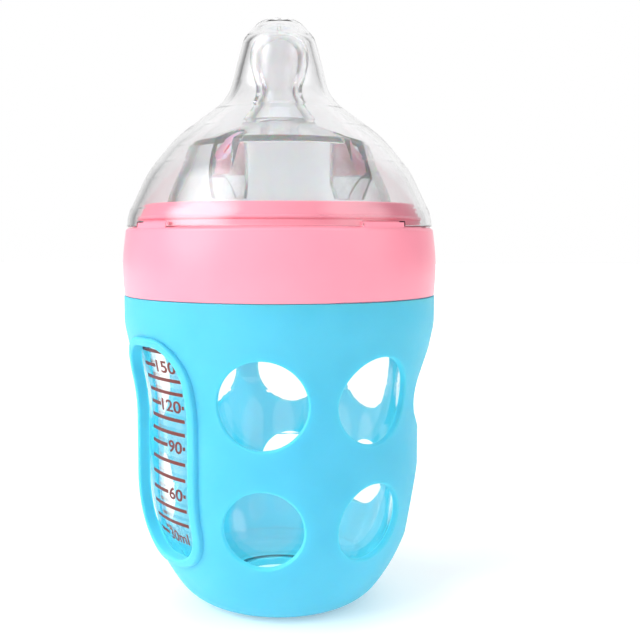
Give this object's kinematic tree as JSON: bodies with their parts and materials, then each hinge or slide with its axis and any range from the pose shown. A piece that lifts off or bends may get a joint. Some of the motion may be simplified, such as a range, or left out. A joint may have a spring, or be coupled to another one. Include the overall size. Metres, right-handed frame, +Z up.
{
  "type": "baby bottle",
  "caption": "Wide-neck glass baby bottle in a perforated silicone sleeve with a screw collar, a vented silicone teat and a clear dome cover.",
  "frame": {"origin": "centre of the sleeve's flat base, on the surface the bottle stands on", "axes": "+Z up along the bottle's axis to the cover's tip; -Y is the front, with a column of holes; the volume scale's window is at the front left, towards -X"},
  "size_m": [0.0784, 0.0784, 0.146],
  "materials": {
    "sleeve_silicone": "satin silicone",
    "bottle_glass": "clear polished glass",
    "collar_plastic": "satin moulded plastic",
    "teat_silicone": "translucent silicone",
    "valve_silicone": "pale pink translucent silicone",
    "cover_clear": "clear polished plastic",
    "scale_ink": "fired print on the glass"
  },
  "bodies": {
    "sleeve": {"silicone_sleeve": "sleeve_silicone"},
    "bottle": {"glass_bottle": "bottle_glass"},
    "teat": {"teat": "teat_silicone", "vent_valve_front": "valve_silicone", "vent_valve_side": "valve_silicone"},
    "collar": {"screw_collar": "collar_plastic"},
    "cover": {"dome_cover": "cover_clear"}
  },
  "joints": [
    {"name": "bottle_lift", "type": "slide", "parent": "sleeve", "child": "bottle", "axis": [0, 0, 1], "range_m": [0, 0.085]},
    {"name": "teat_rise", "type": "slide", "parent": "bottle", "child": "teat", "axis": [0, 0, 1], "range_m": [0, 0.0067]},
    {"name": "collar_turn", "type": "hinge", "parent": "teat", "child": "collar", "pos_m": [0, 0, 0.086], "axis": [0, 0, 1], "range_deg": [0, 480]},
    {"name": "cover_lift", "type": "slide", "parent": "collar", "child": "cover", "axis": [0, 0, 1], "range_m": [0, 0.06]}
  ],
  "couplings": [
    {"joint": "teat_rise", "follows": "collar_turn", "m_per_rad": 0.00079577}
  ]
}
